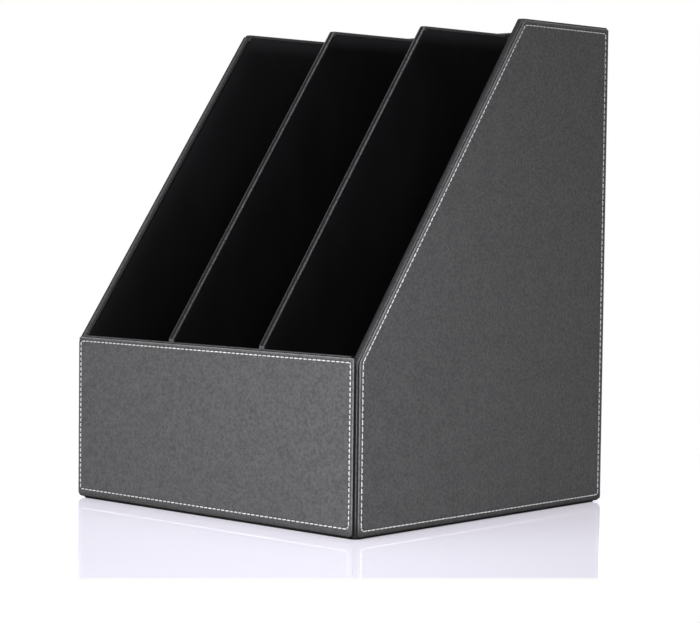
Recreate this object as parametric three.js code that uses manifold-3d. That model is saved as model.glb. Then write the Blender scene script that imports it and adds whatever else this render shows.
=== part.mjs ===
// Upright magazine rack with three slots: wrapped boards, stitched outer panels and velvet linings.
// Millimetres, +Z up. The origin is the centre of the footprint on the table, and the front faces -Y.
import * as THREE from "three";
import { mergeVertices } from "three/addons/utils/BufferGeometryUtils.js";
import Module from "manifold-3d";

const wasm = await Module();
wasm.setup();

// Overall sizes
const WIDTH = 257; // over the left and right panels
const DEPTH = 250; // over the front and back panels
const HEIGHT = 321; // table to the top of the side and back walls
const FRONT_HEIGHT = 110; // table to the top of the front wall
const NOSE_DROP = 4; // top of the front wall down to where the slope leaves the front edge of a side wall
const TOP_FLAT = 92; // level top of a side wall, from its back edge to the slope
const DIVIDER_DROP = 1; // how much lower a divider stands than the side walls
const SLOTS = 3;

// Boards
const SIDE_BOARD = 3.2;
const FRONT_BOARD = 2.6;
const BACK_BOARD = 3.2;
const BASE_BOARD = 3.2;
const DIVIDER_BOARD = 3;

// Sheets glued to the boards
const LEATHER = 0.7; // skin turned over the edges of a board
const VELVET = 0.7; // lining of the slots
const PANEL = 1.3; // stitched panel on an outer face
const FELT = 0.7; // sheet under the base

// How far one sheet stops short of another
const HEM = 2; // turned-in leather that shows along the edge of a slot's wall
const PANEL_SIDE_REVEAL = 0.9; // at the upright edges of a side wall
const PANEL_END_REVEAL = 1.7; // at the ends of the front and back walls
const PANEL_SLOPE_REVEAL = 0.3; // along the slope
const PANEL_TOP_REVEAL = 1.2; // along the level tops
const PANEL_FRONT_REVEAL = 0.9; // along the top of the front wall
const PANEL_FOOT_REVEAL = 1.1; // along the foot
const FELT_INSET = 2; // all round the underside

// Clearances
const GLUE = 0.3; // between a board and a sheet glued to it
const BUTT = 0.3; // between pieces that meet edge to edge

// Roundings
const NOSE_RADIUS = 7; // upright front edge into the slope
const CREST_RADIUS = 1.5; // slope into the level top
const HEEL_RADIUS = 1.5; // level top into the upright back edge
const FOOT_RADIUS = 2.5; // bottom corners of a side wall
const PANEL_FOOT_CORNER = 2; // bottom corners of a panel
const PANEL_CORNER = 0.9; // top corners of a square panel
const FELT_CORNER = 4;
const PANEL_RIM = 0.55; // edge of a panel, seen in section
const SKIN_RIM = 0.9; // edge of a leather skin, seen in section
const RIM_STEPS = 4; // facets of a rounded edge
const CORNER_STEPS = 6; // facets of a rounded corner

// Outer faces of the wrapped boards, with the panels and the felt outside them
const wrap = {
  left: -WIDTH / 2 + PANEL + GLUE,
  right: WIDTH / 2 - PANEL - GLUE,
  front: -DEPTH / 2 + PANEL + GLUE,
  back: DEPTH / 2 - PANEL - GLUE,
  bottom: FELT + GLUE,
};

// Inner faces, once on the turned-in hems and once on whichever sheet stands further out
const hemmed = (board) => LEATHER + GLUE + board + GLUE + LEATHER;
const lined = (board) => LEATHER + GLUE + board + GLUE + Math.max(LEATHER, VELVET);
const hem = {
  right: wrap.right - hemmed(SIDE_BOARD),
  front: wrap.front + hemmed(FRONT_BOARD),
  back: wrap.back - hemmed(BACK_BOARD),
};
const inner = {
  right: wrap.right - lined(SIDE_BOARD),
  front: wrap.front + lined(FRONT_BOARD),
  back: wrap.back - lined(BACK_BOARD),
  floor: wrap.bottom + BASE_BOARD + GLUE + VELVET,
};

// The slope, a line in the plane of a side wall, moved inwards by a distance square to it
const noseHeight = FRONT_HEIGHT - NOSE_DROP;
const slopeRun = wrap.back - TOP_FLAT - wrap.front;
const slopeRise = HEIGHT - noseHeight;
const slopeLength = Math.hypot(slopeRun, slopeRise);
const slopeZ = (y, inset) => noseHeight + ((y - wrap.front) * slopeRise - inset * slopeLength) / slopeRun;
const slopeY = (z, inset) => wrap.front + ((z - noseHeight) * slopeRun + inset * slopeLength) / slopeRise;

// Materials
const cloth = (color, roughness) => new THREE.MeshStandardMaterial({ color, roughness, metalness: 0 });
const panelLeather = () => cloth(0x5f5f61, 0.5);
const wrapLeather = () => cloth(0x3e3e40, 0.55);
const velvet = () => cloth(0x0d0c0d, 1);
const felt = () => cloth(0x1c1c1d, 1);
const fibreboard = () => cloth(0x9a7c58, 0.85);

// A closed outline through corners [u, v, radius], each rounded to its radius
function outline(corners) {
  const shape = new THREE.Shape();
  corners.forEach(([u, v, radius = 0], i) => {
    const corner = new THREE.Vector2(u, v);
    const back = new THREE.Vector2(...corners.at(i - 1)).sub(corner).normalize();
    const ahead = new THREE.Vector2(...corners[(i + 1) % corners.length]).sub(corner).normalize();
    const half = Math.acos(THREE.MathUtils.clamp(back.dot(ahead), -1, 1)) / 2;
    const reach = radius / Math.tan(half);
    const start = corner.clone().addScaledVector(back, reach);
    if (i === 0) shape.moveTo(start.x, start.y);
    else shape.lineTo(start.x, start.y);
    if (radius === 0) return;
    const centre = corner.clone().addScaledVector(back.clone().add(ahead).normalize(), radius / Math.sin(half));
    const first = start.clone().sub(centre).angle();
    const turn = (Math.PI - 2 * half) * Math.sign(ahead.cross(back));
    for (let step = 1; step <= CORNER_STEPS; step++) {
      const angle = first + (turn * step) / CORNER_STEPS;
      shape.lineTo(centre.x + radius * Math.cos(angle), centre.y + radius * Math.sin(angle));
    }
  });
  return shape;
}

// The outline of a side wall, moved inwards at each edge, with its three upper corners rounded
function wallOutline({ front, slope, top, back, bottom }, { nose = 0, crest = 0, heel = 0, foot = 0 } = {}) {
  const [y0, y1] = [wrap.front + front, wrap.back - back];
  const [z0, z1] = [wrap.bottom + bottom, HEIGHT - top];
  return outline([
    [y0, z0, foot],
    [y1, z0, foot],
    [y1, z1, heel],
    [slopeY(z1, slope), z1, crest],
    [y0, slopeZ(y0, slope), nose],
  ]);
}

// A rectangle with rounded corners, the lower two to their own radius
const rectangle = (u0, v0, u1, v1, radius = 0, foot = radius) =>
  outline([
    [u0, v0, foot],
    [u1, v0, foot],
    [u1, v1, radius],
    [u0, v1, radius],
  ]);

// A sheet or board of the given outline, from 0 to its thickness, with both rims rounded
function plate(shape, thickness, rim = 0) {
  return new THREE.ExtrudeGeometry(shape, {
    depth: thickness - 2 * rim,
    bevelEnabled: rim > 0,
    bevelThickness: rim,
    bevelSize: rim,
    bevelOffset: -rim,
    bevelSegments: RIM_STEPS,
  }).translate(0, 0, rim);
}

// Conversions for booleans
function solidOf(geometry) {
  const bare = geometry.clone().deleteAttribute("normal").deleteAttribute("uv");
  const merged = mergeVertices(bare, 1e-4);
  return new wasm.Manifold(
    new wasm.Mesh({
      numProp: 3,
      vertProperties: new Float32Array(merged.attributes.position.array),
      triVerts: new Uint32Array(merged.index.array),
    }),
  );
}
function geometryOf(solid) {
  const { vertProperties, triVerts } = solid.getMesh();
  const geometry = new THREE.BufferGeometry();
  geometry.setAttribute("position", new THREE.BufferAttribute(vertProperties, 3));
  geometry.setIndex(new THREE.BufferAttribute(triVerts, 1));
  geometry.computeVertexNormals();
  return geometry;
}
const cut = (geometry, ...tools) =>
  geometryOf(tools.reduce((solid, tool) => solid.subtract(solidOf(tool)), solidOf(geometry)));

function mesh(name, geometry, material, level = 0) {
  const made = new THREE.Mesh(geometry, material);
  made.name = name;
  made.position.z = level;
  return made;
}

// Frames: drawings of side walls and sections lie in (y, z), drawings of front and back faces in (x, z)
const rack = new THREE.Group();
const alongX = new THREE.Group();
alongX.setRotationFromMatrix(
  new THREE.Matrix4().makeBasis(
    new THREE.Vector3(0, 1, 0),
    new THREE.Vector3(0, 0, 1),
    new THREE.Vector3(1, 0, 0),
  ),
);
const towardsFront = new THREE.Group();
towardsFront.rotation.x = Math.PI / 2;
rack.add(alongX, towardsFront);

// Side walls: a board in a leather cover whose hem leaves a window for the lining
const EDGE = LEATHER + GLUE; // from the outside of a cover to the board in it
const roundings = (inset) => ({
  nose: NOSE_RADIUS - inset,
  crest: CREST_RADIUS - inset,
  heel: HEEL_RADIUS - inset,
  foot: FOOT_RADIUS - inset,
});
const insetAll = (inset) => ({ front: inset, slope: inset, top: inset, back: inset, bottom: inset });
const sideWindow = (gap) => ({
  front: inner.front - wrap.front + gap,
  slope: HEM + gap,
  top: HEM + gap,
  back: wrap.back - inner.back + gap,
  bottom: inner.floor - wrap.bottom + gap,
});

function sideWall(side) {
  const isRight = side === "right";
  const name = (piece) => `${side}_side_${piece}`;
  // Levels along X, measured from the outer face of the cover and mirrored on the left
  const level = (from, thickness) => (isRight ? wrap.right - from - thickness : wrap.left + from);
  const coverThickness = hemmed(SIDE_BOARD);
  const pocket = plate(wallOutline(insetAll(LEATHER), roundings(LEATHER)), SIDE_BOARD + 2 * GLUE).translate(
    0,
    0,
    LEATHER,
  );
  const windowDepth = LEATHER + GLUE;
  const opening = plate(wallOutline(sideWindow(0)), windowDepth + GLUE).translate(
    0,
    0,
    isRight ? -GLUE : coverThickness - windowDepth,
  );
  const cover = cut(plate(wallOutline(insetAll(0), roundings(0)), coverThickness, SKIN_RIM), pocket, opening);
  const boardShape = wallOutline(insetAll(EDGE), roundings(EDGE));
  const panelInsets = {
    front: PANEL_SIDE_REVEAL,
    slope: PANEL_SLOPE_REVEAL,
    top: PANEL_TOP_REVEAL,
    back: PANEL_SIDE_REVEAL,
    bottom: PANEL_FOOT_REVEAL,
  };
  const panelShape = wallOutline(panelInsets, {
    ...roundings(PANEL_SLOPE_REVEAL),
    foot: PANEL_FOOT_CORNER,
  });
  alongX.add(
    mesh(name("cover"), cover, wrapLeather(), level(0, coverThickness)),
    mesh(name("board"), plate(boardShape, SIDE_BOARD), fibreboard(), level(EDGE, SIDE_BOARD)),
    mesh(
      name("lining"),
      plate(wallOutline(sideWindow(BUTT)), VELVET),
      velvet(),
      level(EDGE + SIDE_BOARD + GLUE, VELVET),
    ),
    mesh(name("panel"), plate(panelShape, PANEL, PANEL_RIM), panelLeather(), level(-PANEL - GLUE, PANEL)),
  );
}

// Front and back walls: the same layers between the side walls, drawn as sections and run along X
const runLength = 2 * (hem.right - BUTT);
const acrossRack = (section, shorter = 0) => {
  const length = runLength - 2 * shorter;
  return plate(section, length).translate(0, 0, -length / 2);
};

function crossWall(side, { board, top, topReveal }) {
  const isFront = side === "front";
  const name = (piece) => `${side}_${piece}`;
  const bottom = wrap.bottom;
  const inside = hemmed(board);
  // A section of the wall between two depths from its outer face and two heights
  const section = (from, to, low, high, radius = 0) => {
    const ends = isFront ? [wrap.front + from, wrap.front + to] : [wrap.back - to, wrap.back - from];
    return rectangle(ends[0], low, ends[1], high, radius);
  };
  const windowDepth = LEATHER + GLUE;
  const cover = cut(
    acrossRack(section(0, inside, bottom, top, SKIN_RIM)),
    acrossRack(section(LEATHER, inside - LEATHER, bottom + LEATHER, top - LEATHER), LEATHER),
    acrossRack(section(inside - windowDepth, inside + GLUE, inner.floor, top - HEM), -GLUE),
  );
  const panelHalfWidth = wrap.right - PANEL_END_REVEAL;
  const panelShape = rectangle(
    -panelHalfWidth,
    bottom + PANEL_FOOT_REVEAL,
    panelHalfWidth,
    top - topReveal,
    PANEL_CORNER,
    PANEL_FOOT_CORNER,
  );
  const panelLevel = isFront ? DEPTH / 2 - PANEL : -DEPTH / 2;
  alongX.add(
    mesh(name("cover"), cover, wrapLeather()),
    mesh(
      name("board"),
      acrossRack(section(EDGE, EDGE + board, bottom + EDGE, top - EDGE), EDGE),
      fibreboard(),
    ),
    mesh(
      name("lining"),
      acrossRack(section(inside - LEATHER, inside - LEATHER + VELVET, inner.floor + BUTT, top - HEM - BUTT)),
      velvet(),
    ),
  );
  towardsFront.add(mesh(name("panel"), plate(panelShape, PANEL, PANEL_RIM), panelLeather(), panelLevel));
}

// Base: a lined board between the walls, with a felt sheet under the whole rack
function base() {
  const sheet = (thickness) =>
    plate(
      rectangle(-hem.right + BUTT, hem.front + BUTT, hem.right - BUTT, hem.back - BUTT),
      thickness,
    );
  const feltShape = rectangle(
    wrap.left + FELT_INSET,
    wrap.front + FELT_INSET,
    wrap.right - FELT_INSET,
    wrap.back - FELT_INSET,
    FELT_CORNER,
  );
  rack.add(
    mesh("base_board", sheet(BASE_BOARD), fibreboard(), wrap.bottom),
    mesh("base_lining", sheet(VELVET), velvet(), wrap.bottom + BASE_BOARD + GLUE),
    mesh("base_felt", plate(feltShape, FELT), felt()),
  );
}

// Dividers: a velvet-lined board whose slope and top are bound in leather
const dividerThickness = DIVIDER_BOARD + 2 * GLUE + 2 * Math.max(LEATHER, VELVET);
const bindingThickness = DIVIDER_BOARD + 2 * GLUE + 2 * LEATHER;
const slotPitch = (2 * inner.right + dividerThickness) / SLOTS;

function divider(number) {
  const centre = -inner.right - dividerThickness / 2 + number * slotPitch;
  const name = (piece) => `divider_${number}_${piece}`;
  const ends = (gap) => ({
    front: inner.front - wrap.front + gap,
    back: wrap.back - inner.back + gap,
    bottom: inner.floor - wrap.bottom + gap,
  });
  const upper = (inset) => ({
    slope: inset + (DIVIDER_DROP * slopeRun) / slopeLength,
    top: inset + DIVIDER_DROP,
  });
  const crest = (inset) => ({ crest: CREST_RADIUS - inset });
  // What the leather is wrapped round, run out past the ends that the leather leaves bare
  const core = plate(
    wallOutline({ ...ends(BUTT + LEATHER), ...upper(LEATHER), back: -HEM, bottom: -HEM }, crest(LEATHER)),
    bindingThickness - 2 * LEATHER,
  ).translate(0, 0, LEATHER);
  const belowHem = plate(
    wallOutline({ ...upper(HEM), front: -HEM, back: -HEM, bottom: -HEM }),
    bindingThickness + 2 * GLUE,
  ).translate(0, 0, -GLUE);
  const binding = cut(
    plate(wallOutline({ ...ends(BUTT), ...upper(0) }, crest(0)), bindingThickness, SKIN_RIM),
    core,
    belowHem,
  );
  const boardShape = wallOutline({ ...ends(BUTT), front: ends(BUTT + EDGE).front, ...upper(EDGE) }, crest(EDGE));
  const liningShape = wallOutline({ ...ends(BUTT), ...upper(HEM + BUTT) });
  alongX.add(
    mesh(name("board"), plate(boardShape, DIVIDER_BOARD), fibreboard(), centre - DIVIDER_BOARD / 2),
    mesh(name("binding"), binding, wrapLeather(), centre - bindingThickness / 2),
    mesh(
      name("left_lining"),
      plate(liningShape, VELVET),
      velvet(),
      centre - DIVIDER_BOARD / 2 - GLUE - VELVET,
    ),
    mesh(name("right_lining"), plate(liningShape, VELVET), velvet(), centre + DIVIDER_BOARD / 2 + GLUE),
  );
}

base();
crossWall("front", {
  board: FRONT_BOARD,
  top: FRONT_HEIGHT,
  topReveal: PANEL_FRONT_REVEAL,
});
crossWall("back", {
  board: BACK_BOARD,
  top: HEIGHT,
  topReveal: PANEL_TOP_REVEAL,
});
sideWall("left");
sideWall("right");
for (let number = 1; number < SLOTS; number++) divider(number);

export default rack;
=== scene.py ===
"""Upright three-slot rack: stitched leather panels, wrapped boards and velvet linings, on a white
glossy floor."""

import math
import random

import bpy
from mathutils import Matrix, Vector


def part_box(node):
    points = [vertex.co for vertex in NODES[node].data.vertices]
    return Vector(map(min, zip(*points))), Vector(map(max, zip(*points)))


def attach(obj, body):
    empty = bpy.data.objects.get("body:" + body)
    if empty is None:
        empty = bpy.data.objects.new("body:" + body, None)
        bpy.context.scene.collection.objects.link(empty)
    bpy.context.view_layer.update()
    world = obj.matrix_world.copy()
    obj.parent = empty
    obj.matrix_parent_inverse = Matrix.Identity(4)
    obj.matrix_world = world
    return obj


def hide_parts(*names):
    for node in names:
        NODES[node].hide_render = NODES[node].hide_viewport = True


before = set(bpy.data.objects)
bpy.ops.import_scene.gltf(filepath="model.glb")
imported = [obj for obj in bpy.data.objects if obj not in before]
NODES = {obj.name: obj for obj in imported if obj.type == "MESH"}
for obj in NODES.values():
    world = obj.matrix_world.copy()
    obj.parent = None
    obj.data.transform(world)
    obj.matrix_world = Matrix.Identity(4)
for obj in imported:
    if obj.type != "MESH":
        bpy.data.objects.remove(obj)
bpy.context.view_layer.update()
MM = 0.001

# The slope of a side wall in (y, z), and the level top that follows it, in millimetres
SLOPE_FOOT = (-123.4, 106.0)
SLOPE_HEAD = (31.4, 321.0)
SLOPE_RUN, SLOPE_RISE = SLOPE_HEAD[0] - SLOPE_FOOT[0], SLOPE_HEAD[1] - SLOPE_FOOT[1]
SLOPE_LENGTH = math.hypot(SLOPE_RUN, SLOPE_RISE)

# ---- Sewn panels: sizes in millimetres ----
PANEL = 1.3  # thickness
RIM = [  # (distance in from a panel's edge, height above its glued face, lighter with wear and a painted highlight)
    (1.10, 0.00, 0.0),
    (0.80, 0.02, 0.0),
    (0.45, 0.14, 0.0),
    (0.14, 0.38, 0.0),
    (0.00, 0.62, 0.0),
    (0.00, 0.80, 0.6),
    (0.08, 0.98, 1.0),
    (0.26, 1.12, 1.0),
    (0.56, 1.22, 0.5),
    (0.95, 1.28, 0.0),
]
SHADED_RIM_FACES = 4  # faces of the rim, from the glued face outwards, painted near black as the shade under its edge
GROOVE = [  # (distance in from the stitched row, depth below the face, painted shade)
    (-1.05, 0.00, 0.0),
    (-0.65, 0.05, 0.8),
    (-0.28, 0.18, 1.0),
    (0.00, 0.26, 1.0),
    (0.28, 0.18, 1.0),
    (0.60, 0.05, 0.7),
    (1.00, 0.00, 0.0),
    (1.80, 0.00, 0.0),
]
SHARP = 0.35  # how far before a corner the last needle hole is where the row turns in one hole
CUT = 1.7  # the same where one stitch cuts the corner
SMALL_CUT = 0.7  # the same where a short stitch does
CUT_FOLLOWS = 0.6  # how far the turns of the groove's sides keep step with the row's
LEAST_RADIUS = 0.25  # of a rim inside a small corner
LEAST_CUT = 0.1  # of the groove inside one
GROOVE_DEPTH = max(depth for _, depth, _ in GROOVE)
DIMPLE = 0.20  # how much deeper the groove is at a needle hole
STEPS = 4  # mesh edges along one stitch
ARC = 5  # mesh edges round one corner

THREAD = 0.37  # radius
THREAD_RISE = 0.04  # centre of a stitch below the face of the panel
THREAD_DIVE = 0.85  # how far its ends go down into the needle holes
TAUT = 2.4  # how late in a stitch they do where the thread is pulled tight
SLACK = 5.0  # and where it lies looser
THREAD_PLY = 0.13  # how lobed the two-ply thread is
THREAD_TWIST = 2.3  # turns in one stitch
THREAD_TAPER = 0.25  # how much thinner it is where it enters a hole
THREAD_SIDES = 8  # mesh edges round it
THREAD_CUTS = 12  # and along one stitch
STITCH_END = 0.04  # share of a stitch that it stops short of a needle hole
STITCH_SLANT = (0.05, 0.11)  # how far its ends stand off the row, least and most
STITCH_RISE = (-0.07, 0.03)  # how much higher one stitch lies than another


def line_meet(p, d, q, e):
    """Where the line through p along d meets the line through q along e."""
    cross = d.x * e.y - d.y * e.x
    t = ((q.x - p.x) * e.y - (q.y - p.y) * e.x) / cross
    return p + d * t


def ring(corners, insets, reaches, counts, round_off):
    """Points round an outline moved in by one inset an edge: per corner a cut or an arc, then the
    inside of its edge. reaches are how far before each corner the turn starts. Returns the points
    and, for each, how near it is to a needle hole, from 0 to 1."""
    n = len(corners)
    points = [Vector(c) for c in corners]
    along = [(points[(i + 1) % n] - points[i]).normalized() for i in range(n)]
    inward = [Vector((-d.y, d.x)) for d in along]
    base = [points[i] + inward[i] * insets[i] for i in range(n)]
    sharp = [line_meet(base[i - 1], along[i - 1], base[i], along[i]) for i in range(n)]
    arcs = []
    for i in range(n):
        before, after = along[i - 1], along[i]
        start, end = sharp[i] - before * reaches[i], sharp[i] + after * reaches[i]
        if round_off:
            turn = math.acos(max(-1.0, min(1.0, before.dot(after))))
            centre = start + inward[i - 1] * (reaches[i] / math.tan(turn / 2))
            arm = start - centre
            spokes = [Matrix.Rotation(turn * k / ARC, 2) @ arm for k in range(ARC + 1)]
            arcs.append([centre + spoke for spoke in spokes])
        else:
            arcs.append([start.lerp(end, k / ARC) for k in range(ARC + 1)])
    out, near = [], []
    for i in range(n):
        out += arcs[i]
        near += [(2 * k / ARC - 1) ** 2 for k in range(ARC + 1)]
        first, last = arcs[i][-1], arcs[(i + 1) % n][0]
        steps = counts[i] * STEPS
        for j in range(1, steps):
            out.append(first.lerp(last, j / steps))
            near.append(0.5 + 0.5 * math.cos(2 * math.pi * j / STEPS))
    return out, near


def turn_at(corners, i):
    """Half the angle by which the outline turns at corner i, as a tangent."""
    here = Vector(corners[i])
    before = (here - Vector(corners[i - 1])).normalized()
    after = (Vector(corners[(i + 1) % len(corners)]) - here).normalized()
    return math.tan(math.acos(max(-1.0, min(1.0, before.dot(after)))) / 2)


def panel_shape(corners, radii, row, turns, counts):
    """A sewn panel with its groove: vertices (u, v, w), faces, number of faces painted dark as
    shade and, per vertex, its wear with a painted highlight and its painted shade. turns are the
    row's reaches."""
    n = len(corners)
    bends = [turn_at(corners, i) for i in range(n)]
    levels = []
    for inset, height, rubbed_lit in RIM:
        reach = [max(r - inset, LEAST_RADIUS) * b for r, b in zip(radii, bends)]
        levels.append((([inset] * n, reach, counts, True), height, 0.0, rubbed_lit, 0.0))
    for offset, depth, shade in GROOVE:
        insets = [d + offset for d in row]
        reach = [max(t - offset * b * CUT_FOLLOWS, LEAST_CUT) for t, b in zip(turns, bends)]
        dimple = DIMPLE * (depth / GROOVE_DEPTH) ** 1.5
        levels.append(((insets, reach, counts, False), PANEL - depth, dimple, 0.0, shade))
    verts, rings, worn_lit, groove_shade = [], [], [], []
    for drawn, height, dimple, rubbed_lit, shade in levels:
        points, near = ring(corners, *drawn)
        rings.append(range(len(verts), len(verts) + len(points)))
        verts += [(p.x, p.y, height - dimple * k) for p, k in zip(points, near)]
        worn_lit += [rubbed_lit] * len(points)
        groove_shade += [shade] * len(points)
    faces = [tuple(reversed(rings[0]))]
    size = len(rings[0])
    for lower, upper in zip(rings, rings[1:]):
        for k in range(size):
            m = (k + 1) % size
            faces.append((lower[k], lower[m], upper[m], upper[k]))
    faces.append(tuple(rings[-1]))
    return verts, faces, 1 + SHADED_RIM_FACES * size, {"worn_lit": worn_lit, "groove_shade": groove_shade}


def thread_shape(corners, row, turns, counts, tension, seed):
    """The stitches of a row: short twisted lengths that dive into the needle holes."""
    points, _ = ring(corners, row, turns, counts, False)
    chance = random.Random(seed)
    holes = []
    start = 0
    for i, count in enumerate(counts):
        edge = points[start + ARC : start + ARC + count * STEPS : STEPS]
        if turns[i] > SHARP:
            holes.append(points[start])
        holes += edge
        start += ARC + count * STEPS
    verts, faces = [], []
    sides, cuts = THREAD_SIDES, THREAD_CUTS
    for a, b in zip(holes, holes[1:] + holes[:1]):
        along = (b - a).normalized()
        across = Vector((-along.y, along.x))
        slant = chance.uniform(*STITCH_SLANT)
        rise = chance.uniform(*STITCH_RISE)
        phase = chance.uniform(0, math.tau)
        first = len(verts)
        for c in range(cuts + 1):
            t = c / cuts
            away = abs(2 * t - 1)
            centre = a.lerp(b, STITCH_END + (1 - 2 * STITCH_END) * t)
            centre += across * slant * (2 * t - 1)
            height = PANEL - THREAD_RISE + rise - THREAD_DIVE * away**tension
            radius = THREAD * (1 - THREAD_TAPER * away**6)
            for k in range(sides):
                angle = math.tau * k / sides
                lobe = 1 + THREAD_PLY * math.cos(2 * (angle - phase) - math.tau * THREAD_TWIST * t)
                side = across * math.cos(angle) * radius * lobe
                up = math.sin(angle) * radius * lobe
                verts.append((centre.x + side.x, centre.y + side.y, height + up))
        for c in range(cuts):
            for k in range(sides):
                m = (k + 1) % sides
                low, high = first + c * sides, first + (c + 1) * sides
                faces.append((low + k, low + m, high + m, high + k))
        faces.append(tuple(first + k for k in reversed(range(sides))))
        faces.append(tuple(first + cuts * sides + k for k in range(sides)))
    return verts, faces, 0, {}


def build(name, shape, origin, u, materials, replaces=None):
    """An object from a (u, v, w) shape laid in the upright plane through origin along u, w
    outwards. The first `dark` faces take the second material."""
    verts, faces, dark, marks = shape
    u, v = Vector(u), Vector((0, 0, 1))
    w = u.cross(v)
    place = [(Vector(origin) + u * p[0] + v * p[1] + w * p[2]) * MM for p in verts]
    mesh = bpy.data.meshes.new(name)
    mesh.from_pydata(place, [], faces)
    mesh.validate()
    for mark, values in marks.items():
        mesh.attributes.new(mark, "FLOAT", "POINT").data.foreach_set("value", values)
    mesh.polygons.foreach_set("use_smooth", [len(p.vertices) == 4 for p in mesh.polygons])
    for material in materials:
        mesh.materials.append(material)
    kinds = [int(i < dark) for i in range(len(mesh.polygons))]
    mesh.polygons.foreach_set("material_index", kinds)
    made = bpy.data.objects.new(name, mesh)
    bpy.context.scene.collection.objects.link(made)
    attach(made, "root")
    if replaces:
        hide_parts(replaces)


# ---- Materials ----
def linear(value):
    """An sRGB value from 0 to 255 as linear light."""
    c = value / 255
    return c / 12.92 if c <= 0.04045 else ((c + 0.055) / 1.055) ** 2.4


def tone(r, g, b):
    """A colour given in sRGB from 0 to 255."""
    return (linear(r), linear(g), linear(b), 1.0)


# Darkest and lightest tone of each material
PANEL_TONES = (tone(70, 69, 71), tone(92, 91, 93))
# Wrap leather copies: the dark one painted shade (front cover, bindings), the pale one painted
# light (left wall)
SHADED_WRAP = (tone(14, 14, 15), tone(24, 24, 26))
MIDDLE_WRAP = (tone(44, 44, 46), tone(60, 60, 62))
LIT_WRAP = (tone(66, 66, 69), tone(88, 88, 91))
# near-black under faces of a panel's rim: painted shade
EDGE_SHADE_TONES = (tone(12, 12, 13), tone(22, 22, 24))
FELT_TONES = (tone(24, 24, 25), tone(38, 38, 39))
BOARD_TONES = (tone(139, 112, 79), tone(171, 142, 104))
THREAD_TONES = (tone(214, 214, 216), tone(244, 244, 246))

# The same leathers where they show wear, lighter there also as a painted highlight
PANEL_WORN_LIT = tone(128, 127, 129)
SIDE_WORN_LIT = tone(100, 100, 103)
CROSS_WORN_LIT = tone(102, 102, 105)
FOLD_WORN_LIT = tone(113, 113, 116)

# painted shade in stitch grooves, towards the foot and at the front of a side wall's cover
PAINTED_SHADE = tone(30, 30, 31)
SHADED_IN_SLOT = tone(26, 26, 27)  # cover of a side wall where it turns into the slot, darker: painted shade
LIT_HEM_TONE = tone(90, 90, 92)  # leather turned into a slot, where it shows along a level top: a painted highlight
PANEL_GLOSS, WRAP_GLOSS = 0.32, 0.08
# painted shade along the rim of a board, where it shows through gaps
BOARD_RIM_SHADE = tone(14, 13, 13)

# Velvet: its pile low down in painted shade, laid flat, and brushed up in patches, lighter high up
# as painted light, then painted light near a rim, and on top
SHADED_LOW_PILE = tone(8, 8, 8)
FLAT_PILE = tone(14, 13, 14)
PATCHY_LIT_PILE = tone(23, 21, 23)
INNER_RIM_LIGHT = tone(33, 31, 34)
OUTER_RIM_LIGHT = tone(56, 54, 57)
LIT_TOP_PILE = tone(60, 58, 61)

# Metres above the table between which something changes
# wear and its painted highlight fade in above the foot
FOOT_UNWORN_UNLIT = (0.005, 0.012)
# band along a level top with the painted highlight of leather turned into a slot
LEVEL_HEM = (0.316, 0.3175)
# heights from which folds that face left keep all their wear and painted highlight
LEFT_FOLD_LIT_AT_TOP = (0.298, 0.314)
# heights over which the velvet goes from painted shade low down to painted light high up
PILE_LIT_HIGHER = (0.1, 0.3)
FOOT_SHADE = (0.001, 0.008, 0.55, 0)  # and how much painted shade there is at each, darker towards the foot
FOLD_LOW = (0.11, 0.28, 0.65, 1)  # and how much wear and painted highlight a fold has at each
FOLD_HIGH = (0.28, 0.316, 0.7, 1)

# Metres below a rim
RIM_LIGHT_HALF = 0.006  # where the painted light near a rim is half as strong as at the rim
TOP_LIT_REACH = 0.015  # from a level top down to where its painted light ends
RIM_SHADE_DEPTHS = (0.004, 0.007)  # between which the painted shade along a board's rim ends

# How squarely a face is turned along an axis
TURN_STARTS = (0.08, 0.3)  # where the wear and painted highlight of an edge start
TURN_ENDS = (0.7, 0.95)  # and ends
UPRIGHT = (0.7, 0.9)  # where leather in a slot starts to count as upright
LEFT_TURN = (-0.12, 0)  # between left and right
# a side wall's cover where it faces the front, by the near corner: painted shade
FRONT_SHADE = (-0.99, -0.94)
# the front end of a divider's binding: wear and painted highlight
FRONT_WORN_LIT = (-0.99, -0.9)

LEFT_LESS_LIT = 0.15  # how much wear and painted highlight folds that face left keep, where others keep 1: painted shade
FOLD = (1.5, 1.1)  # millimetres in from the side of a binding between which a fold's wear and painted highlight start
OUTSIDE = (0.12, 0.62)  # shares of a side cover's thickness between which it turns lighter, out of its painted shade
INSIDE_WORN_LIT = 0.25  # how much wear and painted highlight the part in painted shade keeps
# how dark the painted shade in a stitch groove is
GROOVE_SHADE = 0.6
PILE_RIM_LIGHT = (0.45, 0.85)  # how strong the painted light is at a rim, low down and high up


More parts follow.
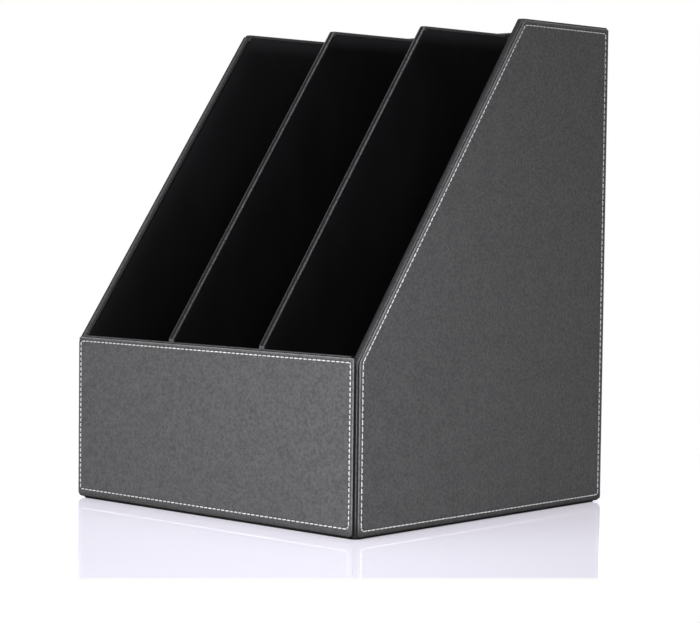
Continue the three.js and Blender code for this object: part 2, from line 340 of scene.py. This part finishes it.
class Surface:
    """A Principled material with procedural colour, roughness and bump in object coordinates."""

    def __init__(self, name, **constants):
        self.material = bpy.data.materials.new(name)
        self.material.use_nodes = True
        self.tree = self.material.node_tree
        self.shader = self.tree.nodes["Principled BSDF"]
        self.place = self.node("ShaderNodeTexCoord").outputs["Object"]
        for socket, value in constants.items():
            self.shader.inputs[socket.replace("_", " ")].default_value = value
        self.normal = None

    def node(self, kind, **settings):
        made = self.tree.nodes.new(kind)
        for key, value in settings.items():
            setattr(made, key, value)
        return made

    def link(self, a, b):
        self.tree.links.new(a, b)

    def noise(self, scale, detail=2.0, roughness=0.5, stretch=(1, 1, 1)):
        """Noise with `scale` features a metre."""
        source = self.place
        if stretch != (1, 1, 1):
            mapping = self.node("ShaderNodeMapping")
            mapping.inputs["Scale"].default_value = stretch
            self.link(source, mapping.inputs["Vector"])
            source = mapping.outputs["Vector"]
        made = self.node("ShaderNodeTexNoise")
        made.inputs["Scale"].default_value = scale
        made.inputs["Detail"].default_value = detail
        made.inputs["Roughness"].default_value = roughness
        self.link(source, made.inputs["Vector"])
        return made.outputs["Fac"]

    def cells(self, scale):
        """Soft cells, `scale` a metre."""
        made = self.node("ShaderNodeTexVoronoi", feature="SMOOTH_F1")
        made.inputs["Scale"].default_value = scale
        self.link(self.place, made.inputs["Vector"])
        return made.outputs["Distance"]

    def geometry(self, output, axis):
        """One axis of what the renderer knows of a place on the surface."""
        split = self.node("ShaderNodeSeparateXYZ")
        self.link(self.node("ShaderNodeNewGeometry").outputs[output], split.inputs[0])
        return split.outputs[axis]

    def position(self, axis):
        """Metres from the rack's origin along an axis."""
        return self.geometry("Position", axis)

    def facing(self, axis):
        """How squarely a face is turned towards an axis, from -1 to 1."""
        return self.geometry("True Normal", axis)

    def mark(self, name):
        """An attribute of the mesh."""
        return self.node("ShaderNodeAttribute", attribute_name=name).outputs["Fac"]

    def range(self, value, low, high, to_low, to_high):
        """Values from low to high taken over smoothly to those from to_low to to_high."""
        made = self.node("ShaderNodeMapRange", interpolation_type="SMOOTHSTEP")
        limits = {"From Min": low, "From Max": high, "To Min": to_low, "To Max": to_high}
        for key, number in limits.items():
            made.inputs[key].default_value = number
        self.link(value, made.inputs["Value"])
        return made.outputs["Result"]

    def math(self, operation, a, b=0.0):
        made = self.node("ShaderNodeMath", operation=operation)
        for socket, value in zip(made.inputs, (a, b)):
            if isinstance(value, (int, float)):
                socket.default_value = value
            else:
                self.link(value, socket)
        return made.outputs["Value"]

    def times(self, first, *others):
        """The product of sockets and numbers."""
        for other in others:
            first = self.math("MULTIPLY", first, other)
        return first

    def mix(self, factor, a, b):
        made = self.node("ShaderNodeMix", data_type="RGBA")
        self.link(factor, made.inputs["Factor"])
        for socket, value in ((made.inputs["A"], a), (made.inputs["B"], b)):
            if isinstance(value, tuple):
                socket.default_value = value
            else:
                self.link(value, socket)
        return made.outputs["Result"]

    def colour(self, value):
        self.link(value, self.shader.inputs["Base Color"])

    def roughness(self, value):
        self.link(value, self.shader.inputs["Roughness"])

    def bump(self, height, distance, strength=1.0):
        """Bump of `distance` millimetres, laid over what is there."""
        made = self.node("ShaderNodeBump")
        made.inputs["Distance"].default_value = distance * MM
        made.inputs["Strength"].default_value = strength
        self.link(height, made.inputs["Height"])
        if self.normal:
            self.link(self.normal, made.inputs["Normal"])
        self.normal = made.outputs["Normal"]
        self.link(self.normal, self.shader.inputs["Normal"])


def edge_shade(name):
    """Painted shade: near-black leather on the under faces of a panel's rim."""
    s = Surface(name, Specular_IOR_Level=0.3)
    streak = s.noise(1800, 3, 0.6)
    s.colour(s.mix(s.range(streak, 0.35, 0.65, 0, 1), *EDGE_SHADE_TONES))
    s.roughness(s.range(streak, 0.3, 0.7, 0.55, 0.75))
    s.bump(streak, 0.06)
    return s.material


def lit_top_hem(s):
    """Where leather turned into a slot shows along a level top, lighter as a painted highlight."""
    upright = s.range(s.math("ABSOLUTE", s.facing("X")), *UPRIGHT, 0, 1)
    return s.times(upright, s.range(s.position("Z"), *LEVEL_HEM, 0, 1))


def leather(name, dark, light, worn_lit, gloss, rubbed_lit, wall=None, lit_hem=False):
    """Fine pebbled imitation leather: mottled colour, grain cells, and edges lighter with wear and
    a painted highlight; the argument after the gloss makes the socket that says where. Painted
    shade darkens stitch grooves and the foot. The cover of a side wall, given as `wall`, has
    painted shade towards the slot and at its front. It and leather given the last argument are
    lighter where they
    show along a level top: a painted highlight."""
    s = Surface(name, Specular_IOR_Level=gloss)
    mottle = s.noise(620, 3, 0.6)
    cloud = s.noise(80, 3, 0.6)
    blend = s.math("ADD", s.times(mottle, 0.84), s.times(cloud, 0.16))
    base = s.mix(s.range(blend, 0.34, 0.66, 0, 1), dark, light)
    height = s.position("Z")
    uneven = s.range(mottle, 0.3, 0.6, 0.4, 1)
    rub_lit = s.times(rubbed_lit(s), uneven, s.range(height, *FOOT_UNWORN_UNLIT, 0, 1))
    shade_mask = s.times(s.mark("groove_shade"), GROOVE_SHADE)
    shade_mask = s.math("MAXIMUM", shade_mask, s.range(height, *FOOT_SHADE))
    if lit_hem:
        base = s.mix(lit_top_hem(s), base, LIT_HEM_TONE)
    if wall:
        low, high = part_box(wall)
        thickness = high.x - low.x
        across = s.math("ABSOLUTE", s.position("X"))
        outer = s.range(across, *(low.x + share * thickness for share in OUTSIDE), 0, 1)
        base = s.mix(outer, s.mix(lit_top_hem(s), SHADED_IN_SLOT, LIT_HEM_TONE), base)
        rub_lit = s.times(rub_lit, s.range(outer, 0, 1, INSIDE_WORN_LIT, 1))
        shade_mask = s.math("MAXIMUM", shade_mask, s.range(s.facing("Y"), *FRONT_SHADE, 1, 0))
    s.colour(s.mix(shade_mask, s.mix(rub_lit, base, worn_lit), PAINTED_SHADE))
    s.roughness(s.range(s.noise(420, 2), 0.3, 0.7, 0.46, 0.62))
    s.bump(s.cells(1150), 0.16)
    s.bump(s.noise(2600, 2), 0.05)
    return s.material


def rim_worn_lit(s):
    """Wear and painted highlight where the mesh's own attribute says so."""
    return s.mark("worn_lit")


def less_lit_facing_left(s):
    """1, and less on folds that face left: painted shade on the side away from the light."""
    return s.range(s.facing("X"), *LEFT_TURN, LEFT_LESS_LIT, 1)


def turn_worn_lit(axis):
    """Wear and painted highlight where a surface turns from facing along an axis to facing across
    it.
    """

    def rubbed_lit(s):
        along = s.math("ABSOLUTE", s.facing(axis))
        starts, ends = s.range(along, *TURN_STARTS, 0, 1), s.range(along, *TURN_ENDS, 1, 0)
        return s.times(starts, ends, less_lit_facing_left(s))

    return rubbed_lit


def fold_worn_lit(node):
    """Wear with a painted highlight along both folds of a divider's binding, more towards the top,
    and on its front end. node is one of the two mirrored dividers'."""
    low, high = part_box(node)
    centre, half = abs(low.x + high.x) / 2, (high.x - low.x) / 2
    edge = [half - inset * MM for inset in FOLD]

    def rubbed_lit(s):
        off = s.math("SUBTRACT", s.math("ABSOLUTE", s.position("X")), centre)
        height = s.position("Z")
        fold = s.times(
            s.range(s.math("ABSOLUTE", off), *edge, 0, 1),
            s.range(s.math("ABSOLUTE", s.facing("X")), *TURN_ENDS, 1, 0),
            s.math("MAXIMUM", less_lit_facing_left(s), s.range(height, *LEFT_FOLD_LIT_AT_TOP, 0, 1)),
            s.range(height, *FOLD_LOW),
            s.range(height, *FOLD_HIGH),
        )
        return s.math("MAXIMUM", fold, s.range(s.facing("Y"), *FRONT_WORN_LIT, 1, 0))

    return rubbed_lit


def below_rim(s):
    """How far a place in a slot is below the sloping or level rim of the side walls, in metres."""
    y, z = s.position("Y"), s.position("Z")
    behind = s.math("SUBTRACT", y, SLOPE_FOOT[0] * MM)
    above = s.math("SUBTRACT", z, SLOPE_FOOT[1] * MM)
    back = s.times(behind, SLOPE_RISE / SLOPE_LENGTH)
    down = s.times(above, SLOPE_RUN / SLOPE_LENGTH)
    below_top = s.math("SUBTRACT", SLOPE_HEAD[1] * MM, z)
    return s.math("MINIMUM", s.math("SUBTRACT", back, down), below_top)


def velvet(name, rim_light_tone):
    """Short-pile velvet: near black, with brushed patches and a soft sheen; painted shade low down,
    painted light higher up and near the rim, and the most painted light along the level tops."""
    s = Surface(name, Roughness=1.0, Specular_IOR_Level=0.02)
    s.shader.inputs["Sheen Weight"].default_value = 0.008
    s.shader.inputs["Sheen Roughness"].default_value = 0.5
    s.shader.inputs["Sheen Tint"].default_value = (0.8, 0.78, 0.8, 1.0)
    brushed = s.noise(26, 3, 0.55, (1, 1, 0.45))
    fibre = s.noise(3200, 1)
    blend = s.math("ADD", s.times(brushed, 0.6), s.times(fibre, 0.4))
    patches = s.range(blend, 0.38, 0.62, 0, 1)
    height = s.position("Z")
    lit_higher = s.range(height, *PILE_LIT_HIGHER, 0, 1)
    low, high = s.mix(patches, SHADED_LOW_PILE, FLAT_PILE), s.mix(patches, FLAT_PILE, PATCHY_LIT_PILE)
    below = s.math("MAXIMUM", below_rim(s), 0.0)
    rim_light = s.math("DIVIDE", RIM_LIGHT_HALF, s.math("ADD", below, RIM_LIGHT_HALF))
    rim_light = s.times(rim_light, s.range(lit_higher, 0, 1, *PILE_RIM_LIGHT))
    pile = s.mix(rim_light, s.mix(lit_higher, low, high), rim_light_tone)
    rim = SLOPE_HEAD[1] * MM
    s.colour(s.mix(s.range(height, rim - TOP_LIT_REACH, rim, 0, 1), pile, LIT_TOP_PILE))
    s.bump(fibre, 0.2, 0.7)
    return s.material


def felt(name):
    """Thin black felt, its fibres lying along X."""
    s = Surface(name, Roughness=0.95, Specular_IOR_Level=0.2)
    fibre = s.noise(1500, 4, 0.7, (1, 0.3, 1))
    s.colour(s.mix(s.range(fibre, 0.35, 0.65, 0, 1), *FELT_TONES))
    s.bump(fibre, 0.25)
    return s.material


def fibreboard(name):
    """Bare fibreboard, black along the rim as painted shade where it shows through gaps there."""
    s = Surface(name, Specular_IOR_Level=0.25)
    fibre = s.noise(700, 5, 0.7, (1, 1, 3))
    bare = s.mix(s.range(fibre, 0.3, 0.7, 0, 1), *BOARD_TONES)
    s.colour(s.mix(s.range(below_rim(s), *RIM_SHADE_DEPTHS, 1, 0), bare, BOARD_RIM_SHADE))
    s.roughness(s.range(fibre, 0.3, 0.7, 0.75, 0.9))
    s.bump(fibre, 0.1)
    return s.material


def thread(name):
    """Pale sewing thread."""
    s = Surface(name, Specular_IOR_Level=0.3, Sheen_Weight=0.2)
    fibre = s.noise(5200, 2, 0.6)
    tint = s.noise(210, 2)
    blend = s.math("ADD", s.times(fibre, 0.5), s.times(tint, 0.5))
    s.colour(s.mix(s.range(blend, 0.35, 0.65, 0, 1), *THREAD_TONES))
    s.roughness(s.range(fibre, 0.3, 0.7, 0.6, 0.75))
    s.bump(fibre, 0.06)
    return s.material


SIDE_WEAR_LIT = (SIDE_WORN_LIT, WRAP_GLOSS, turn_worn_lit("X"), "right_side_cover")
CROSS_WEAR_LIT = (CROSS_WORN_LIT, WRAP_GLOSS, turn_worn_lit("Y"))
FOLD_WEAR_LIT = (FOLD_WORN_LIT, WRAP_GLOSS, fold_worn_lit("divider_2_binding"))
PANEL_LEATHER = leather("panel_leather", *PANEL_TONES, PANEL_WORN_LIT, PANEL_GLOSS, rim_worn_lit)
RIGHT_WRAP = leather("right_wrap_leather", *MIDDLE_WRAP, *SIDE_WEAR_LIT)
LEFT_WRAP = leather("left_wrap_leather", *LIT_WRAP, *SIDE_WEAR_LIT)
BACK_WRAP = leather("back_wrap_leather", *MIDDLE_WRAP, *CROSS_WEAR_LIT)
CROSS_WRAP = leather("cross_wrap_leather", *SHADED_WRAP, *CROSS_WEAR_LIT)
BINDING = leather("binding_leather", *SHADED_WRAP, *FOLD_WEAR_LIT, lit_hem=True)
EDGE_SHADE_MATERIAL = edge_shade("edge_shade")
# The outer walls' linings take the stronger painted light near the rim
VELVET = velvet("velvet", INNER_RIM_LIGHT)
OUTER_VELVET = velvet("outer_velvet", OUTER_RIM_LIGHT)
FELT = felt("felt")
BOARD = fibreboard("fibreboard")
THREAD_COTTON = thread("thread")

COVERS = {"left": LEFT_WRAP, "right": RIGHT_WRAP, "back": BACK_WRAP, "front": CROSS_WRAP}
for name, node in NODES.items():
    where, kind = name.split("_")[0], name.split("_")[-1]
    chosen = {
        "cover": COVERS.get(where),
        "binding": BINDING,
        "panel": PANEL_LEATHER,
        "lining": OUTER_VELVET if where in ("left", "right", "back") else VELVET,
        "board": BOARD,
        "felt": FELT,
    }[kind]
    for slot in node.material_slots:
        slot.material = chosen

# ---- Panels and stitches ----
# Per edge, from the foot round: stitches, millimetres in to their row, and how far before the
# corner at its start the row turns
FRONT_COUNTS = [63, 29, 63, 29]
FRONT_ROW = [4.4, 2.6, 2.7, 2.0]
FRONT_TURNS = [SHARP, CUT, SMALL_CUT, SHARP]
BACK_COUNTS = [65, 82, 65, 82]
BACK_ROW = [3.1, 2.4, 2.4, 2.4]
BACK_TURNS = [SHARP, SMALL_CUT, SMALL_CUT, SHARP]
SIDE_COUNTS = [62, 81, 24, 68, 24]
SIDE_ROW = [3.1, 3.4, 3.1, 2.25, 2.6]
SIDE_TURNS = [CUT, SHARP, SHARP, SHARP, SMALL_CUT]

# Radii of the panels' corners: at the foot, at the top of front and back, and at the top and the
# nose of a side
FOOT_CORNER, TOP_CORNER, CREST_CORNER, NOSE_CORNER = 2.0, 0.9, 1.2, 6.7
SIDE_RADII = [FOOT_CORNER, FOOT_CORNER, CREST_CORNER, CREST_CORNER, NOSE_CORNER]
FRONT_SEED, BACK_SEED, SIDE_SEED = 11, 12, 13


def sew(name, panel, stitches, origin, u):
    """A sewn panel in place of the plain one, and its stitches."""
    leathers = (PANEL_LEATHER, EDGE_SHADE_MATERIAL)
    build(f"{name}_sewn_panel", panel, origin, u, leathers, f"{name}_panel")
    build(f"{name}_stitches", stitches, origin, u, [THREAD_COTTON])


def cross_panel(name, outside, counts, row, turns, seed):
    """The sewn panel of the front or back wall, and its stitches. outside is -1 or 1 along Y."""
    low, high = (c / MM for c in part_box(f"{name}_panel"))
    half = (high.x - low.x) / 2
    corners = [(-half, low.z), (half, low.z), (half, high.z), (-half, high.z)]
    radii = [FOOT_CORNER, FOOT_CORNER, TOP_CORNER, TOP_CORNER]
    panel = panel_shape(corners, radii, row, turns, counts)
    stitches = thread_shape(corners, row, turns, counts, TAUT, seed)
    glued = high.y if outside < 0 else low.y
    sew(name, panel, stitches, (0, glued, 0), (-outside, 0, 0))


cross_panel("front", -1, FRONT_COUNTS, FRONT_ROW, FRONT_TURNS, FRONT_SEED)
cross_panel("back", 1, BACK_COUNTS, BACK_ROW, BACK_TURNS, BACK_SEED)

REVEAL = 0.3  # from the slope of a side wall in to the edge of its panel
side_low, side_high = (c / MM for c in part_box("right_side_panel"))
nose_run = side_low.y - SLOPE_FOOT[0]
nose = SLOPE_FOOT[1] + (nose_run * SLOPE_RISE - REVEAL * SLOPE_LENGTH) / SLOPE_RUN
crest_rise = side_high.z - SLOPE_FOOT[1]
crest = SLOPE_FOOT[0] + (crest_rise * SLOPE_RUN + REVEAL * SLOPE_LENGTH) / SLOPE_RISE
side_corners = [
    (side_low.y, side_low.z),
    (side_high.y, side_low.z),
    (side_high.y, side_high.z),
    (crest, side_high.z),
    (side_low.y, nose),
]
panel = panel_shape(side_corners, SIDE_RADII, SIDE_ROW, SIDE_TURNS, SIDE_COUNTS)
stitches = thread_shape(side_corners, SIDE_ROW, SIDE_TURNS, SIDE_COUNTS, SLACK, SIDE_SEED)


def mirrored(shape):
    """A (u, v, w) shape with u turned round, its faces still outwards."""
    verts, faces, dark, marks = shape
    return [(-u, v, w) for u, v, w in verts], [tuple(reversed(f)) for f in faces], dark, marks


sew("right_side", panel, stitches, (side_low.x, 0, 0), (0, 1, 0))
sew("left_side", mirrored(panel), mirrored(stitches), (-side_low.x, 0, 0), (0, -1, 0))

# ---- Floor, background, lights and camera ----
SHEET_TURN = math.radians(46.4)  # direction in which the glossy sheet ends, from -Y towards +X
SHEET_EDGE = (0.298, 0.307)  # metres from the rack's centre to that edge, which is soft
SHEET_FADE = (0.32, 0.42)  # metres from the centre over which its shading turns plain white
SHEET_SHADED = (0.52, 0.525, 0.59, 1)  # its matt part
SHEET_GLOSS, SHEET_ROUGHNESS = (0.42, 0.44, 0.47, 1), 0.03
SHEET_GLOW = (0.322, 0.298, 0.33, 1)  # what it adds to both
MATT_WHITE = (0.8, 0.8, 0.8, 1)
WHITE = (1, 1, 1, 1)


def floor_material():
    """A white sheet, slightly glossy, with a lavender cast in its shadow and reflection, that goes
    over into plain white. Other than to the camera it is matt white."""
    made = bpy.data.materials.new("floor_white")
    made.use_nodes = True
    tree = made.node_tree
    tree.nodes.remove(tree.nodes["Principled BSDF"])

    def node(kind, **values):
        new = tree.nodes.new(kind)
        for key, value in values.items():
            new.inputs[key].default_value = value
        return new

    def add(a, b):
        both = tree.nodes.new("ShaderNodeAddShader")
        tree.links.new(a.outputs[0], both.inputs[0])
        tree.links.new(b.outputs[0], both.inputs[1])
        return both

    def choose(factor, a, b):
        pick = tree.nodes.new("ShaderNodeMixShader")
        tree.links.new(factor, pick.inputs[0])
        tree.links.new(a.outputs[0], pick.inputs[1])
        tree.links.new(b.outputs[0], pick.inputs[2])
        return pick

    def vector(operation, a, b, output):
        new = tree.nodes.new("ShaderNodeVectorMath")
        new.operation = operation
        tree.links.new(a, new.inputs[0])
        if b:
            new.inputs[1].default_value = b
        return new.outputs[output]

    def ramp(value, limits):
        new = tree.nodes.new("ShaderNodeMapRange")
        new.interpolation_type = "SMOOTHSTEP"
        new.inputs["From Min"].default_value, new.inputs["From Max"].default_value = limits
        tree.links.new(value, new.inputs["Value"])
        return new.outputs["Result"]

    place = tree.nodes.new("ShaderNodeTexCoord").outputs["Object"]
    ends_towards = (math.sin(SHEET_TURN), -math.cos(SHEET_TURN), 0)
    towards_edge = vector("DOT_PRODUCT", place, ends_towards, "Value")
    away = vector("LENGTH", place, None, "Value")
    plain = tree.nodes.new("ShaderNodeMath")
    plain.operation = "MAXIMUM"
    tree.links.new(ramp(towards_edge, SHEET_EDGE), plain.inputs[0])
    tree.links.new(ramp(away, SHEET_FADE), plain.inputs[1])

    matt = node("ShaderNodeBsdfDiffuse", Color=MATT_WHITE)
    shaded = node("ShaderNodeBsdfDiffuse", Color=SHEET_SHADED)
    gloss = node("ShaderNodeBsdfAnisotropic", Color=SHEET_GLOSS, Roughness=SHEET_ROUGHNESS)
    glow = node("ShaderNodeEmission", Color=SHEET_GLOW, Strength=1.0)
    white = node("ShaderNodeEmission", Color=WHITE, Strength=1.0)
    seen = choose(plain.outputs[0], add(add(shaded, gloss), glow), white)
    path = tree.nodes.new("ShaderNodeLightPath")
    mixed = choose(path.outputs["Is Camera Ray"], matt, seen)
    tree.links.new(mixed.outputs[0], tree.nodes["Material Output"].inputs["Surface"])
    return made


HALF = 6.0  # half the floor's width
corners = [(-HALF, -HALF, 0), (HALF, -HALF, 0), (HALF, HALF, 0), (-HALF, HALF, 0)]
floor_mesh = bpy.data.meshes.new("floor")
floor_mesh.from_pydata(corners, [], [(0, 1, 2, 3)])
floor_mesh.materials.append(floor_material())
floor = bpy.data.objects.new("floor", floor_mesh)
bpy.context.scene.collection.objects.link(floor)

WORLD_LIGHT = 0.12  # of the background, white where a camera, mirror or glass ray meets it
world = bpy.data.worlds.new("studio")
bpy.context.scene.world = world
world.use_nodes = True
tree = world.node_tree
background = tree.nodes["Background"]
background.inputs["Color"].default_value = WHITE
path = tree.nodes.new("ShaderNodeLightPath")
seen = path.outputs["Is Camera Ray"]
for ray in ("Is Glossy Ray", "Is Transmission Ray"):
    either = tree.nodes.new("ShaderNodeMath")
    either.operation = "MAXIMUM"
    tree.links.new(seen, either.inputs[0])
    tree.links.new(path.outputs[ray], either.inputs[1])
    seen = either.outputs[0]
level = tree.nodes.new("ShaderNodeMapRange")
level.inputs["To Min"].default_value = WORLD_LIGHT
level.inputs["To Max"].default_value = 1.0
tree.links.new(seen, level.inputs["Value"])
tree.links.new(level.outputs["Result"], background.inputs["Strength"])


def softbox(name, place, aim, size, power, spread):
    """A square area light of `size` metres at place, turned towards aim. A spread under 180
    degrees is a grid."""
    lamp = bpy.data.lights.new(name, "AREA")
    lamp.size = size
    lamp.energy = power
    lamp.spread = math.radians(spread)
    made = bpy.data.objects.new(name, lamp)
    made.location = place
    made.rotation_mode = "QUATERNION"
    made.rotation_quaternion = (Vector(aim) - Vector(place)).to_track_quat("-Z", "Y")
    bpy.context.scene.collection.objects.link(made)


for lamp in (  # name, place, aim, size, watts, spread
    ("near_corner", (0.38, -0.69, 0.28), (0.128, -0.125, 0.1), 0.31, 0.56, 80),
    ("right_side", (0.75, -0.5, 0.55), (0.128, -0.16, 0.12), 0.3, 0.25, 45),
    ("front_left", (-0.4, -1.4, 0.6), (0.0, -0.12, 0.05), 0.9, 7.7, 180),
    ("top", (0.0, 0.1, 1.7), (0, 0, 0), 1.4, 10.6, 180),
    ("back", (-0.8, 1.3, 0.7), (0, 0.12, 0.14), 0.9, 4.8, 180),
):
    softbox(*lamp)

PICTURE = 700  # pixels across, in which focal length and shift are given
FOCAL = 2130.468
SHIFT = (-0.5, 0.85)
SENSOR = 36
CAMERA_PLACE = (0.976202, -1.057389, 0.202923)
YAW, PITCH, ROLL = math.radians(42.485), math.radians(-3.01), math.radians(0.685)
camera_data = bpy.data.cameras.new("camera")
camera_data.sensor_width = SENSOR
camera_data.sensor_fit = "HORIZONTAL"
camera_data.lens = FOCAL / PICTURE * SENSOR
camera_data.shift_x, camera_data.shift_y = (pixels / PICTURE for pixels in SHIFT)
camera_data.clip_start, camera_data.clip_end = 0.05, 60
camera = bpy.data.objects.new("camera", camera_data)
flat = math.cos(PITCH)
ahead = Vector((-math.sin(YAW) * flat, math.cos(YAW) * flat, math.sin(PITCH)))
level_right = Vector((math.cos(YAW), math.sin(YAW), 0))
level_up = level_right.cross(ahead)
right = level_right * math.cos(ROLL) + level_up * math.sin(ROLL)
up = level_up * math.cos(ROLL) - level_right * math.sin(ROLL)
turned = Matrix((right, up, -ahead)).transposed().to_4x4()
camera.matrix_world = Matrix.Translation(Vector(CAMERA_PLACE)) @ turned
bpy.context.scene.collection.objects.link(camera)
bpy.context.scene.camera = camera
bpy.context.scene.view_settings.view_transform = "Standard"
